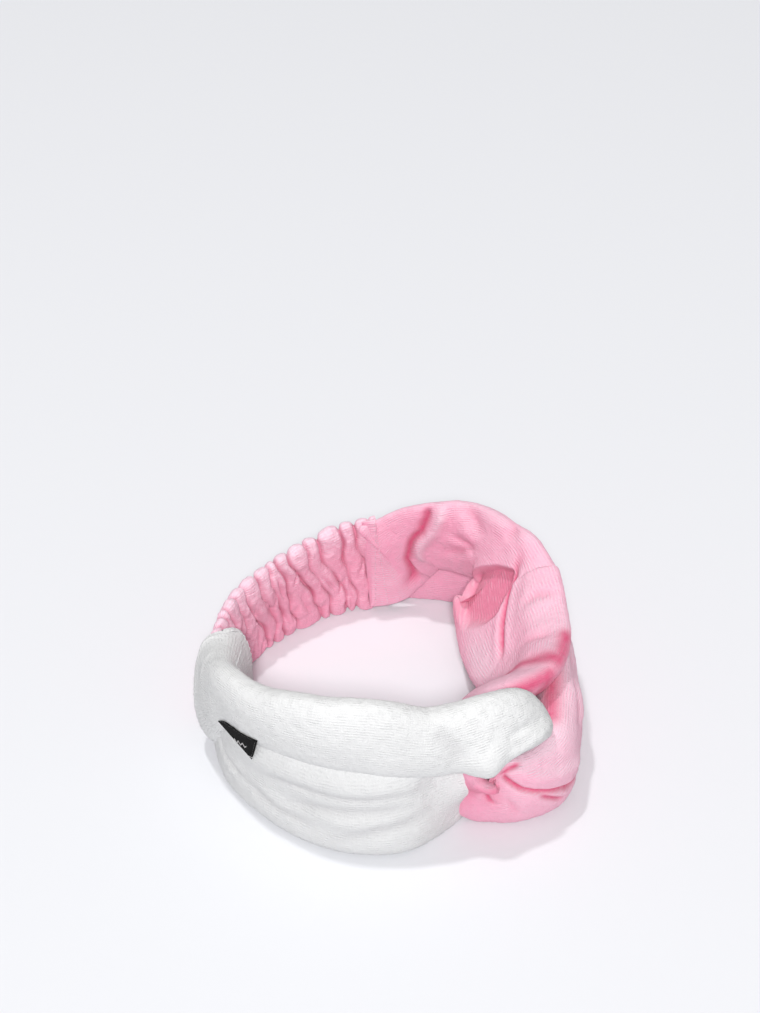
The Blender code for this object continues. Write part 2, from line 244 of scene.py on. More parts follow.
def each(shape, surface, rows):
    """Make one kind of fold many times; a row holds its line or spot and then its measures."""
    for row in rows:
        shape(surface, *row)


def crease(surface, line, depth, width, lip=0.35, ends=0.3):
    """Push a narrow valley into the cloth along a line, with a soft lip on both sides, and paint shade in the
    valley.
    """
    d, share = distance_to_line(surface, line)
    taper = fade_out(share, ends)
    valley = np.exp(-(d / width)**2) * taper
    raised = np.exp(-((d - 2.2 * width) / (1.5 * width))**2) * taper
    surface["push"] += depth * (lip * raised - valley)
    surface["fold"] = np.maximum(surface["fold"], valley)


def ridge(surface, line, height, width, ends=0.3, nap_and_highlight=0.0):
    """Raise a soft roll along a line, with an optional painted highlight along its crest."""
    d, share = distance_to_line(surface, line)
    roll = np.exp(-(d / width)**2) * fade_out(share, ends)
    surface["push"] += height * roll
    surface["nap_and_highlight"] += nap_and_highlight * roll


def slack(surface, line, depth, width):
    """A shallow wave in slack cloth, with only a faint painted shade at its bottom."""
    d, share = distance_to_line(surface, line)
    taper = fade_out(share, 0.45)
    raised = 0.6 * np.exp(-((d - 1.8 * width) / (1.4 * width))**2)
    surface["push"] += depth * taper * (raised - np.exp(-(d / width)**2))
    surface["fold"] = np.maximum(surface["fold"], 0.22 * np.exp(-(d / (0.7 * width))**2) * taper)


def grab(surface, spot, reach, move):
    """Carry the cloth round one (s, v) bodily by a vector in mm, fading out over reach."""
    share = np.exp(-(distance_to_spot(surface, spot) / reach)**2)
    surface["P"] = surface["P"] + share[:, :, None] * np.array(move, float)


def paint_shade_line(surface, line, reach, shade):
    """Paint shade along a line where the cloth lies in a crevice between two limbs or under a roll."""
    d, _ = distance_to_line(surface, line)
    surface["fold"] = np.maximum(surface["fold"], shade * np.exp(-(d / reach)**2))


def dome(surface, spot, height, reach):
    """Raise a round swelling at one (s, v)."""
    surface["push"] += height * np.exp(-(distance_to_spot(surface, spot) / reach)**2)


def dent(surface, corners, softness, depth, shade):
    """Sink the cloth inside a convex outline of (s, v) corners and paint shade there by the shade amount;
    each side has its own softness in mm.
    """
    s, v = np.meshgrid(surface["s"], surface["v"], indexing="ij")
    around = surface["round"][:, None]
    t = v * around
    inside = np.ones(s.shape)
    sides = list(zip(corners, (*corners[1:], corners[0])))
    turning = sum(p[0] * q[1] - q[0] * p[1] for p, q in sides)
    wobble = 0.5 * noise(surface["P"], 5.0, 77)
    for ((s0, v0), (s1, v1)), soft in zip(sides, softness):
        ds, dt = s1 - s0, (v1 - v0) * around
        gap = (ds * (t - v0 * around) - dt * (s - s0)) / np.hypot(ds, dt) * math.copysign(1, turning)
        inside = inside * ramp(gap + wobble, 0.0, soft)
    surface["push"] -= depth * inside
    surface["fold"] = np.maximum(surface["fold"], shade * inside)


def begin_folds(surface):
    """push moves the cloth out in mm, fold paints shade into its colour, and the paling layer pales the pile
    in places and paints highlights in others.
    """
    for layer in ("push", "fold", "nap_and_highlight"):
        surface[layer] = np.zeros(surface["P"].shape[:2])


def pile_roughness(surface, amount, seed):
    grid = surface["P"]
    surface["push"] += amount * (0.6 * noise(grid, 0.9, seed) + 0.6 * noise(grid, 1.9, seed + 5))


def settle(surface):
    """Apply the folds; nothing goes under the table."""
    grid = surface["P"] + surface["N"] * surface["push"][:, :, None]
    height = grid[..., 2]
    grid[..., 2] = np.maximum(np.where(height < 0, 0.03 * noise(grid, 1.5, 9), height), 0.0)
    surface["P"] = grid


# ------------------------------------------------------------------ meshes
def mesh_piece(name, verts, faces, uvs, material, attributes=()):
    """A mesh from millimetre vertices; uvs has one pair per face corner, in metres."""
    mesh = bpy.data.meshes.new(name)
    mesh.from_pydata((np.asarray(verts) * MM).tolist(), [], faces)
    layer = mesh.uv_layers.new(name="UVMap")
    layer.data.foreach_set("uv", np.asarray(uvs, dtype=np.float32).ravel())
    for label, values in attributes:
        attribute = mesh.attributes.new(label, "FLOAT", "POINT")
        attribute.data.foreach_set("value", np.asarray(values, dtype=np.float32))
    mesh.polygons.foreach_set("use_smooth", [True] * len(mesh.polygons))
    mesh.materials.append(material)
    mesh.validate()
    thing = bpy.data.objects.new(name, mesh)
    bpy.context.scene.collection.objects.link(thing)
    return thing


def wall_quads(rings, corners):
    """Vertex numbers of a tube's wall, quad by quad."""
    index = np.arange(rings * corners).reshape(rings, corners)
    a, b = index[:-1], index[1:]
    return np.stack([a, np.roll(a, -1, 1), np.roll(b, -1, 1), b], -1).reshape(-1, 4).tolist()


def closed_tube(name, surface, material):
    """The cloth tube, with a face across each of its two ends."""
    s = surface["s"]
    rings, corners = surface["P"].shape[:2]
    width = surface["round"].mean()
    u0 = np.repeat(s[:-1], corners).reshape(-1, corners)
    u1 = np.repeat(s[1:], corners).reshape(-1, corners)
    w0 = np.tile(surface["v"], (rings - 1, 1)) * width
    w1 = w0 + width / corners
    uv = np.stack([np.stack(pair, -1) for pair in ((u0, w0), (u0, w1), (u1, w1), (u1, w0))], 2)
    uvs = np.vstack([uv.reshape(-1, 2), np.tile((s[0], 0.0), (2 * corners, 1))]) * MM
    last = (rings - 1) * corners
    ends = [list(range(corners)), list(range(last, last + corners))[::-1]]
    shades = [("fold", surface["fold"].ravel()), ("nap_and_highlight", surface["nap_and_highlight"].ravel())]
    faces = wall_quads(rings, corners) + ends
    return mesh_piece(name, surface["P"].reshape(-1, 3), faces, uvs, material, shades)


def draw_in_ends(surface, reach, keep):
    """Flatten the tube towards its mid-plane over its last few mm, as a sewn end does."""
    s = surface["s"]
    for index in range(len(s)):
        left = min(s[index] - s[0], s[-1] - s[index])
        if left < reach:
            part = keep + (1 - keep) * math.sqrt(max(0.0, 1 - (1 - left / reach)**2))
            ring = surface["P"][index]
            middle = ring.mean(axis=0)
            count = len(ring)
            flat = ring[count // 4] - ring[3 * count // 4]
            flat /= np.linalg.norm(flat)
            along = (ring - middle) @ flat
            surface["P"][index] = ring - np.outer(along * (1 - part), flat)


# ------------------------------------------------------------------ materials
# textures are in metres: place is the object's own space, along and across are the cloth's
def node(tree, kind, **values):
    made = tree.nodes.new(kind)
    for key, value in values.items():
        setattr(made, key, value)
    return made


def maths(tree, operation, a, b=None, c=None, clamp=False):
    made = node(tree, "ShaderNodeMath", operation=operation, use_clamp=clamp)
    for socket, value in zip(made.inputs, (a, b, c)):
        if value is None:
            continue
        if isinstance(value, (int, float)):
            socket.default_value = value
        else:
            tree.links.new(value, socket)
    return made.outputs[0]


def mix_colour(tree, share, a, b):
    made = node(tree, "ShaderNodeMix", data_type="RGBA")
    for socket, value in ((made.inputs[0], share), (made.inputs[6], a), (made.inputs[7], b)):
        if isinstance(value, tuple):
            socket.default_value = (*value, 1.0)
        elif isinstance(value, (int, float)):
            socket.default_value = value
        else:
            tree.links.new(value, socket)
    return made.outputs[2]


def noise_node(tree, vector, scale, detail=3.0, rough=0.55):
    made = node(tree, "ShaderNodeTexNoise")
    made.inputs["Scale"].default_value = scale
    made.inputs["Detail"].default_value = detail
    made.inputs["Roughness"].default_value = rough
    tree.links.new(vector, made.inputs["Vector"])
    return made.outputs["Fac"]


def waves(tree, value, pitch):
    return maths(tree, "SINE", maths(tree, "MULTIPLY", value, 2 * math.pi / pitch))


def parted(tree, vector):
    made = node(tree, "ShaderNodeSeparateXYZ")
    tree.links.new(vector, made.inputs[0])
    return made.outputs


def cloth_place(tree):
    """The cloth's own coordinates: metres along it and metres across it."""
    parts = parted(tree, node(tree, "ShaderNodeUVMap", uv_map="UVMap").outputs[0])
    return parts["X"], parts["Y"]


def add_bump(tree, shader, height, distance):
    bump = node(tree, "ShaderNodeBump")
    bump.inputs["Strength"].default_value = 1.0
    bump.inputs["Distance"].default_value = distance
    tree.links.new(height, bump.inputs["Height"])
    tree.links.new(bump.outputs["Normal"], shader.inputs["Normal"])


def span(tree, value, low, high, to_low=0.0, to_high=1.0):
    made = node(tree, "ShaderNodeMapRange", clamp=True)
    tree.links.new(value, made.inputs["Value"])
    for key, number in (("From Min", low), ("From Max", high), ("To Min", to_low), ("To Max", to_high)):
        made.inputs[key].default_value = number
    return made.outputs["Result"]


def start_material(name, roughness, sheen=0.0, sheen_tint=(1, 1, 1), sheen_rough=0.5, specular=0.2):
    material = bpy.data.materials.new(name)
    material.use_nodes = True
    tree = material.node_tree
    shader = tree.nodes["Principled BSDF"]
    shader.inputs["Roughness"].default_value = roughness
    shader.inputs["Sheen Weight"].default_value = sheen
    shader.inputs["Sheen Roughness"].default_value = sheen_rough
    shader.inputs["Sheen Tint"].default_value = (*sheen_tint, 1.0)
    shader.inputs["Specular IOR Level"].default_value = specular
    return material, tree, shader


def velour(name, tip, mid, deep, sheen_tint, rib_depth, sheen, rib_colour, bump_depth):
    """Sheared towelling: fine broken ribs along the tube, a speckled pile, a painted highlight where the
    cloth faces up and painted shade in its folds.
    """
    material, tree, shader = start_material(name, 0.95, sheen, sheen_tint, 0.45, 0.1)
    along, across = cloth_place(tree)
    place = node(tree, "ShaderNodeTexCoord").outputs["Object"]
    facing = parted(tree, node(tree, "ShaderNodeNewGeometry").outputs["Normal"])
    wander = noise_node(tree, place, 130, 2.0)
    rib = waves(tree, maths(tree, "ADD", across, maths(tree, "MULTIPLY", wander, 0.0011)), RIB_PITCH * MM)
    loop = waves(tree, along, 0.0013)
    speck = noise_node(tree, place, 1400, 4.0, 0.7)
    clump = noise_node(tree, place, 330, 3.0, 0.6)
    broad = noise_node(tree, place, 34, 3.0)
    rib_seen = maths(tree, "MULTIPLY", rib, span(tree, clump, 0.38, 0.64))
    pile = maths(tree, "ADD", maths(tree, "MULTIPLY", speck, 0.8), maths(tree, "MULTIPLY", clump, 0.5))
    height = maths(tree, "ADD", maths(tree, "MULTIPLY", rib_seen, rib_depth), pile)
    height = maths(tree, "ADD", height, maths(tree, "MULTIPLY", loop, 0.04))
    add_bump(tree, shader, height, bump_depth)
    lightness = maths(tree, "MULTIPLY", rib_seen, rib_colour)
    lightness = maths(tree, "ADD", lightness, span(tree, speck, 0.3, 0.7, -0.12, 0.16))
    lightness = maths(tree, "ADD", lightness, span(tree, broad, 0.3, 0.7, -0.1, 0.16))
    # painted highlight: the more the cloth faces up, the paler it is painted
    lightness = maths(tree, "ADD", lightness, span(tree, facing["Z"], 0.0, 0.95, 0.0, 0.55))
    # the paling layer: pale hem loops, random tone and a paler outer limb, with painted highlights on a
    # ridge, a patch and the casing's top edge
    nap_and_highlight = node(tree, "ShaderNodeAttribute", attribute_name="nap_and_highlight").outputs["Fac"]
    lightness = maths(tree, "ADD", lightness, nap_and_highlight, clamp=True)
    # painted shade: the fold layer darkens creases, crevices and hollows towards deep, the painted shade
    # colour, broken up by the pile's clumps
    fold = node(tree, "ShaderNodeAttribute", attribute_name="fold").outputs["Fac"]
    fold = maths(tree, "MULTIPLY", fold, span(tree, clump, 0.2, 0.7, 1.0, 0.75), clamp=True)
    # tip is the pale colour that ribs, speckle and the painted highlights go towards
    cloth = mix_colour(tree, lightness, mid, tip)
    tree.links.new(mix_colour(tree, fold, cloth, deep), shader.inputs["Base Color"])
    return material


def thread_material(name, colour, dark):
    material, tree, shader = start_material(name, 0.6, 0.3, (1, 1, 1), 0.3, 0.35)
    speck = noise_node(tree, node(tree, "ShaderNodeTexCoord").outputs["Object"], 2600, 2.0)
    tree.links.new(mix_colour(tree, span(tree, speck, 0.35, 0.65), dark, colour), shader.inputs["Base Color"])
    add_bump(tree, shader, speck, 0.00008)
    return material


def webbing():
    """Woven elastic: fine ribs across the strip and rubber cores showing between them."""
    material, tree, shader = start_material("elastic_webbing", 0.7, 0.2, (1, 1, 1), 0.4, 0.25)
    along, across = cloth_place(tree)
    cores = waves(tree, across, 0.0015)
    weave = maths(tree, "MULTIPLY", cores, waves(tree, along, 0.0009))
    height = maths(tree, "ADD", cores, maths(tree, "MULTIPLY", weave, 0.6))
    colour = mix_colour(tree, span(tree, height, -1.2, 1.2), (0.66, 0.65, 0.62), (0.88, 0.87, 0.84))
    tree.links.new(colour, shader.inputs["Base Color"])
    add_bump(tree, shader, height, 0.0002)
    return material


def stripe(tree, value, middle, half_width):
    """1 where value is within half_width of middle."""
    away = maths(tree, "ABSOLUTE", maths(tree, "SUBTRACT", value, middle))
    return maths(tree, "LESS_THAN", away, half_width)


def label_weave():
    """Black woven label with a plain chevron row and border lines in pale thread."""
    material, tree, shader = start_material("label_weave", 0.8, 0.0, (0.8, 0.8, 0.8), 0.4, 0.1)
    along, up = cloth_place(tree)
    zigzag = maths(tree, "MULTIPLY", maths(tree, "PINGPONG", along, 0.0013), 1.4)
    chevron = stripe(tree, maths(tree, "SUBTRACT", up, zigzag), 0.0056, 0.00042)
    chevron = maths(tree, "MULTIPLY", chevron, stripe(tree, along, 0.0115, 0.0075))
    shown = maths(tree, "MAXIMUM", chevron, stripe(tree, up, 0.0012, 0.00022))
    weave = maths(tree, "MULTIPLY", waves(tree, along, 0.0005), waves(tree, up, 0.0004))
    black = mix_colour(tree, span(tree, weave, -1, 1), (0.003, 0.003, 0.003), (0.010, 0.0095, 0.0095))
    tree.links.new(mix_colour(tree, shown, black, (0.62, 0.60, 0.60)), shader.inputs["Base Color"])
    add_bump(tree, shader, weave, 0.00008)
    return material


# each velour: the pale colour, the middle colour, the painted shade colour of folds and crevices, and the
# sheen's tint
MATERIALS = {
    "white": velour("white_velour", (0.79, 0.79, 0.79), (0.69, 0.69, 0.692), (0.52, 0.51, 0.52), (1, 1, 1),
                    rib_depth=0.24, sheen=0.08, rib_colour=0.28, bump_depth=0.0005),
    "pink": velour("pink_velour", (0.79, 0.57, 0.655), (0.86, 0.36, 0.505), (0.62, 0.07, 0.17),
                   (1, 0.86, 0.93),
                   rib_depth=0.24, sheen=0.2, rib_colour=0.34, bump_depth=0.00042),
    "casing": velour("casing_velour", (0.88, 0.64, 0.74), (0.86, 0.35, 0.485), (0.58, 0.08, 0.18),
                     (1, 0.8, 0.9),
                     rib_depth=0.18, sheen=0.25, rib_colour=0.25, bump_depth=0.0005),
    "elastic": webbing(),
    "label": label_weave(),
    "white_thread": thread_material("white_sewing_thread", (0.80, 0.80, 0.80), (0.60, 0.59, 0.60)),
    "pink_thread": thread_material("pink_sewing_thread", (0.88, 0.60, 0.70), (0.78, 0.40, 0.52)),
    "black_thread": thread_material("black_sewing_thread", (0.03, 0.03, 0.03), (0.012, 0.012, 0.012)),
}


# ------------------------------------------------------------------ the white band
def slant_end(surface, reach, ahead, behind):
    """Carry the inner half of the first end further along and hold the outer half back: a slanting mouth."""
    grid, s = surface["P"], surface["s"]
    way = np.gradient(grid.mean(axis=1), axis=0)
    way /= np.linalg.norm(way, axis=1)[:, None]
    inner = 0.5 - 0.5 * np.sin(2 * math.pi * surface["v"])
    corner = np.exp(-((surface["v"] - 0.93) / 0.06)**2)
    shift = ahead * (inner + corner) - behind * (1 - inner)
    near = 1 - ramp(s, 0.0, reach)
    surface["P"] = grid - way[:, None, :] * (near[:, None] * shift[None, :])[:, :, None]


def white_surface():
    surface = tube(WHITE_ROUTE, *WHITE_SIZE)
    begin_folds(surface)
    surface["push"] += 0.8 * crumple(surface["P"], 22, 11)
    # the rounded end at the knot: a shallow hollow inside a turned rim
    dent(surface, ((176, 0.31), (184, 0.22), (196, 0.22), (201, 0.27), (196, 0.33), (184, 0.35)),
         (6, 7, 6, 4, 5, 6), 1.5, 0.0)
    ridge(surface, ((203, 0.27), (200, 0.33), (193.8, 0.386), (186, 0.415), (176, 0.43)), 1.0, 2.6)
    crease(surface, ((150, 0.10), (157, 0.20), (161, 0.31), (160, 0.40)), 0.9, 4.0)
    # the cloth swells out beside the knot
    each(dome, surface, (((271, 0.89), 10.0, 12.0), ((272, 0.77), 8.0, 9.0), ((172, 0.445), 6.0, 8.0)))
    # the lower limb rolls under the upper one, and has slack folds below that
    each(ridge, surface, (
        (((392, 0.88), (370, 0.90), (348, 0.91), (326, 0.915), (300, 0.92), (276, 0.93)), 5.0, 8.0),
        (((384, 0.99), (352, 1.0), (320, 1.0), (288, 1.0)), 4.0, 6.0),
        (((340, 0.73), (318, 0.73), (296, 0.745)), 1.0, 4.5),
    ))
    each(crease, surface, (
        (((366, 0.80), (348, 0.84), (326, 0.85), (304, 0.855), (286, 0.83)), 1.0, 2.0),
        (((352, 0.70), (332, 0.76), (312, 0.79), (292, 0.78)), 1.0, 2.6),
        (((372, 0.73), (350, 0.655), (330, 0.66)), 0.8, 2.4),
        (((330, 0.60), (308, 0.69), (284, 0.72)), 0.8, 3.0),
        (((392, 0.80), (380, 0.74), (366, 0.71)), 1.0, 1.8),
    ))
    # the white's painted shade in its creases is kept faint
    surface["fold"] *= 0.45
    pile_roughness(surface, 0.17, 31)
    grab(surface, (269, 0.88), 11.0, (7.5, -5.0, 0.5))
    slant_end(surface, 30.0, 4.0, 13.0)
    draw_in_ends(surface, 2.0, 0.55)
    settle(surface)
    return surface


# ------------------------------------------------------------------ the pink band
def inner_limb_folds(surface):
    """The deep fold beside the joint, the pocket under the roll and the long crease of the roll, with painted
    shade in them.
    """
    each(crease, surface, (
        (((395, 1.0), (396.8, 0.92), (400.5, 0.83), (407.3, 0.77), (416, 0.695), (420.2, 0.60), (421, 0.54)),
         2.2, 1.7, 0.15, 0.12),
        (((355, 0.94), (351, 0.86), (337.5, 0.79), (325.6, 0.74), (314, 0.70), (304, 0.66)),
         1.7, 1.4, 0.3, 0.25),
    ))
    dent(surface, ((370, 0.545), (351, 0.85), (338, 0.785), (331, 0.735), (330, 0.66),
                   (336, 0.565), (350, 0.52)),
         (1.8, 1.6, 2.0, 3.0, 8.0, 4.0, 2.5), 5.0, 0.65)
    # the first ridge, beside the deep fold, carries a painted highlight along its crest
    each(ridge, surface, (
        (((388, 1.0), (390, 0.91), (394, 0.83), (400, 0.765), (407, 0.69), (412, 0.60)), 2.4, 3.2, 0.2, 0.5),
        (((362, 0.98), (346, 0.92), (330, 0.875), (312, 0.845), (292, 0.82), (274, 0.84)), 2.0, 8.0, 0.2),
    ))
    each(slack, surface, (
        (((378, 1.01), (373, 0.90), (368, 0.80)), 1.4, 3.0),
        (((366, 1.03), (361, 0.96), (359, 0.88)), 1.2, 2.2),
        (((396, 0.66), (384, 0.70), (368, 0.745)), 1.1, 2.6),
        (((388, 0.80), (379, 0.77), (370, 0.70)), 1.0, 2.2),
        (((320, 0.99), (325, 0.90), (323, 0.81)), 0.9, 3.0),
        (((298, 0.96), (300, 0.86), (304, 0.76)), 0.8, 3.0),
        (((280, 0.93), (285, 0.84), (290, 0.78)), 0.7, 2.8),
    ))
    # painted shade in the crevice against the outer limb, and a painted shadow on the cloth under the roll
    each(paint_shade_line, surface, (
        (((296, 0.985), (282.5, 0.99), (275.8, 0.01), (262, 0.03)), 4.0, 1.0),
        (((364, 0.575), (345, 0.555)), 6.0, 0.5),
    ))


def outer_limb_folds(surface):
    """The lapped fold and the short creases that gather towards the knot, and slack waves elsewhere, with
    painted shade in the creases and crevices.
    """
    each(crease, surface, (
        (((207.5, 0.94), (204.6, 0.89), (198.9, 0.82), (192.7, 0.775), (184.1, 0.72), (176, 0.665)),
         2.2, 1.3, 0.1, 0.12),
        (((194, 0.765), (187.4, 0.69), (182, 0.62)), 1.2, 1.1),
        (((186, 0.72), (177, 0.665), (170, 0.63)), 0.9, 1.1),
        (((214, 0.88), (213, 0.82), (211.5, 0.76), (208.9, 0.70)), 1.2, 1.1),
        (((209, 0.92), (203, 0.95), (197, 0.97)), 0.9, 1.0),
    ))
    each(ridge, surface, (
        (((205, 0.99), (199, 0.925), (193, 0.865), (186, 0.825), (177, 0.77), (169, 0.71)), 1.8, 3.4, 0.25),
        (((20, 0.70), (50, 0.71), (84, 0.74)), 1.6, 9.0),
    ))
    dome(surface, (214, 0.99), 5.0, 6.0)
    each(slack, surface, (
        (((206, 0.80), (202, 0.70), (199, 0.60)), 0.9, 2.2),
        (((140, 0.94), (154, 0.87), (168, 0.84)), 1.2, 3.0),
        (((116, 0.98), (132, 0.93), (146, 0.90)), 1.0, 3.0),
        (((134, 0.80), (150, 0.78), (166, 0.76)), 0.8, 3.0),
        (((-2, 0.80), (22, 0.76), (50, 0.79)), 1.8, 4.2),
        (((0, 0.64), (18, 0.67), (40, 0.63)), 1.6, 3.6),
        (((-3, 0.72), (10, 0.71), (24, 0.73)), 1.3, 2.6),
        (((2, 0.88), (14, 0.86), (30, 0.90)), 1.2, 2.8),
        (((54, 0.88), (80, 0.80), (106, 0.82)), 1.6, 5.0),
        (((64, 0.60), (90, 0.67), (118, 0.63)), 1.4, 4.6),
    ))
    # painted shade in the crevice against the inner limb and in two hollows near the knot
    each(paint_shade_line, surface, (
        (((132, 0.04), (147, 0.03), (157, 0.025), (168, 0.02)), 4.5, 0.9),
        (((216, 0.93), (212, 0.84), (210, 0.76)), 5.0, 0.35),
        (((226, 0.04), (219, 1.0), (210, 0.97)), 4.5, 0.6),
    ))


def joint_hem(surface, s, v):
    """The hem at the joint: a raised edge with a speckle of open loops, and a groove where it ends."""
    far = surface["s"][-1] - s
    hem = ramp(far, 1.0, 3.0) * (1 - ramp(far, 9.5, 11.5))
    loops = np.sin(2 * math.pi * v * surface["round"][:, None] / 1.5) * np.sin(2 * math.pi * s / 1.7)
    surface["nap_and_highlight"] += hem * (0.16 + 0.45 * np.clip(loops + 0.4 * noise(surface["P"], 3.0, 83), 0, 1))
    surface["push"] += 0.5 * hem - 0.5 * np.exp(-((far - 10.8) / 1.0)**2)


def pink_surface():
    surface = tube(PINK_ROUTE, *PINK_SIZE)
    surface["s"] = surface["s"] - PINK_LAP
    begin_folds(surface)
    surface["push"] += 0.65 * crumple(surface["P"], 20, 51)
    inner_limb_folds(surface)
    outer_limb_folds(surface)
    s, v = np.meshgrid(surface["s"], surface["v"], indexing="ij")
    joint_hem(surface, s, v)
    # paler along the outer limb, and a painted highlight on one patch of the inner one where it faces up to
    # the light
    surface["nap_and_highlight"] += 0.30 * ramp(s, 60, 110) * (1 - ramp(s, 200, 225))
    surface["nap_and_highlight"] += 0.40 * np.exp(-((s - 318) / 14)**2) * np.exp(-((v - 0.60) / 0.075)**2)
    pile_roughness(surface, 0.17, 71)
    draw_in_ends(surface, 4.0, 0.15)
    settle(surface)
    return surface


# ------------------------------------------------------------------ things sewn on the cloth
def lie_on(surface, s, v):
    """Points of the finished cloth at (s, v), and the cloth's normal there."""
    grid = surface["P"]
    rings, corners = grid.shape[:2]
    start, end = surface["s"][0], surface["s"][-1]
    row = np.clip((np.asarray(s, float) - start) / (end - start) * (rings - 1), 0, rings - 1.001)
    column = (np.asarray(v, float) % 1.0) * corners
    i, j = row.astype(int), column.astype(int)
    down, along = (row - i)[:, None], (column - j)[:, None]
    j, after = j % corners, (j + 1) % corners

    def at(field):
        upper = field[i, j] * (1 - along) + field[i, after] * along
        lower = field[i + 1, j] * (1 - along) + field[i + 1, after] * along
        return upper * (1 - down) + lower * down

    if "facing" not in surface:
        surface["facing"] = normals(grid)
    facing = at(surface["facing"])
    return at(grid), facing / np.linalg.norm(facing, axis=1)[:, None]


def tube_along(points, radii, sides=7):
    """Vertices and faces of a round thread through points, with a radius at each."""
    points = np.asarray(points, float)
    along = np.gradient(points, axis=0)
    along /= np.linalg.norm(along, axis=1)[:, None]
    side = np.cross(along, np.array((0.31, 0.22, 0.92)))
    side /= np.linalg.norm(side, axis=1)[:, None]
    up = np.cross(along, side)
    verts = []
    for point, radius, a, b in zip(points, radii, side, up):
        for k in range(sides):
            turn = 2 * math.pi * k / sides
            verts.append(point + radius * (math.cos(turn) * a + math.sin(turn) * b))
    faces = []
    for ring in range(len(points) - 1):
        for k in range(sides):
            n = (k + 1) % sides
            faces.append((ring * sides + k, ring * sides + n, (ring + 1) * sides + n, (ring + 1) * sides + k))
    faces.append(tuple(range(sides))[::-1])
    faces.append(tuple((len(points) - 1) * sides + k for k in range(sides)))
    return verts, faces


def stitch_ends(total, length, gap):
    """Where each stitch of a row starts and stops."""
    count = max(1, int(total / (length + gap)))
    step = total / count
    return [(k * step, k * step + step * length / (length + gap)) for k in range(count)]


def joined_threads(name, threads, material):
    verts, faces = [], []
    for points, loops in threads:
        faces += [tuple(len(verts) + i for i in loop) for loop in loops]
        verts += points
    return mesh_piece(name, verts, faces, np.zeros((sum(len(face) for face in faces), 2)), material)


def stitches(name, surface, paths, material, length=2.4, gap=0.7, lift=0.16):
    """Rows of single stitches: each rises out of the cloth, crosses it and dives back in."""
    threads = []
    for path in paths:
        path = np.array(path, float)
        fine = np.linspace(0, len(path) - 1, 40 * len(path))
        s = np.interp(fine, np.arange(len(path)), path[:, 0])
        v = np.interp(fine, np.arange(len(path)), path[:, 1])
        walk = walked(lie_on(surface, s, v)[0])
        for start, stop in stitch_ends(walk[-1], length, gap):
            spots = np.linspace(start, stop, 7)
            base, facing = lie_on(surface, np.interp(spots, walk, s), np.interp(spots, walk, v))
            t = np.abs(np.linspace(-1, 1, 7))
            rise = lift - (lift + SEAM_SUNK) * t[:, None]**5
            threads.append(tube_along(base + facing * rise, SEAM_THREAD * (1 - 0.25 * t**4)))
    return joined_threads(name, threads, material)


def hem_stitches(name, rows, way, material):
    """Straight rows of fine stitches through given points, standing proud along one direction."""
    threads = []
    for row in rows:
        walk = walked(row)
        for start, stop in stitch_ends(walk[-1], 1.3, 0.5):
            spots = np.linspace(start, stop, 6)
            base = np.stack([np.interp(spots, walk, row[:, axis]) for axis in range(3)], -1)
            rise = 0.1 - 0.4 * np.abs(np.linspace(-1, 1, 6))**5
            threads.append(tube_along(base + way * rise[:, None], np.full(6, HEM_THREAD)))
    return joined_threads(name, threads, material)


def outline_distance(tree, point, way):
    """How far along way the cloth's outermost surface lies from a point, in mm."""
    start = point + way * 20
    hit = tree.ray_cast(Vector(start), Vector(-way), 40.0)
    return 20 - hit[3] if hit[0] is not None else -20.0


def draped_label(skin):
    """The label's back face, a triangle laid outwards onto the cloth and slack over the crease."""
    columns, rows = LABEL_POINTS
    tree = BVHTree.FromPolygons(skin["P"].reshape(-1, 3).tolist(), wall_quads(*skin["P"].shape[:2]))
    along = np.linspace(0.0, 1.0, columns)
    (s0, v0), (s1, v1) = LABEL_TOP
    top, _ = lie_on(skin, s0 + (s1 - s0) * along, v0 + (v1 - v0) * along)
    tip, _ = lie_on(skin, [LABEL_TIP[0]], [LABEL_TIP[1]])
    low = top[0] + (tip[0] - top[0]) * along[:, None]
    down = np.linspace(0.0, 1.0, rows)
    sheet = top[:, None, :] * (1 - down[None, :, None]) + low[:, None, :] * down[None, :, None]
    way = sheet.mean(axis=(0, 1)) - np.array((*RING_CENTRE, 0.0))
    way[2] = 0.0
    way /= np.linalg.norm(way)
    reach = np.array([[outline_distance(tree, point, way) for point in row] for row in sheet])
    settled = np.maximum(reach, 0.0)
    for _ in range(30):
        padded = np.pad(settled, 1, mode="edge")
        soft = (padded[2:, 1:-1] + padded[:-2, 1:-1] + padded[1:-1, 2:] + padded[1:-1, :-2]) / 4
        settled = np.maximum(reach, soft)
    return sheet + way * (settled + 0.3)[:, :, None], way


def add_label(skin):
    """The woven label: sewn to the roll along its top, and hanging over the crease onto the lower limb."""
    back, way = draped_label(skin)
    front = back + way * LABEL_THICK
    columns, rows = LABEL_POINTS
    count = columns * rows
    index = np.arange(count).reshape(columns, rows)
    faces, uvs = [], []

    def uv_of(vertex):
        column, row = divmod(vertex % count, rows)
        far = column / (columns - 1)
        return (far * LABEL_PATTERN[0] * MM, (1 - row / (rows - 1) * far) * LABEL_PATTERN[1] * MM)

    def face(*loop):
        faces.append([int(vertex) for vertex in loop])
        uvs.extend(uv_of(int(vertex)) for vertex in loop)

    for i in range(columns - 1):
        for j in range(rows - 1):
            a, b, c, d = index[i, j], index[i, j + 1], index[i + 1, j + 1], index[i + 1, j]
            face(a, b, c, d)
            face(count + d, count + c, count + b, count + a)
    rim = [*index[:, 0], *index[-1, 1:], *index[-2::-1, -1], *index[0, -2:0:-1]]
    for first, second in zip(rim, rim[1:] + rim[:1]):
        face(first, second, count + second, count + first)
    verts = np.vstack([front.reshape(-1, 3), back.reshape(-1, 3)])
    label = closed_outward(mesh_piece("label_cloth", verts, faces, uvs, MATERIALS["label"]))
    hem = [front[4:-3, 1], front[-2, 2:-3]]
    return label, hem_stitches("label_thread", hem, way, MATERIALS["black_thread"])


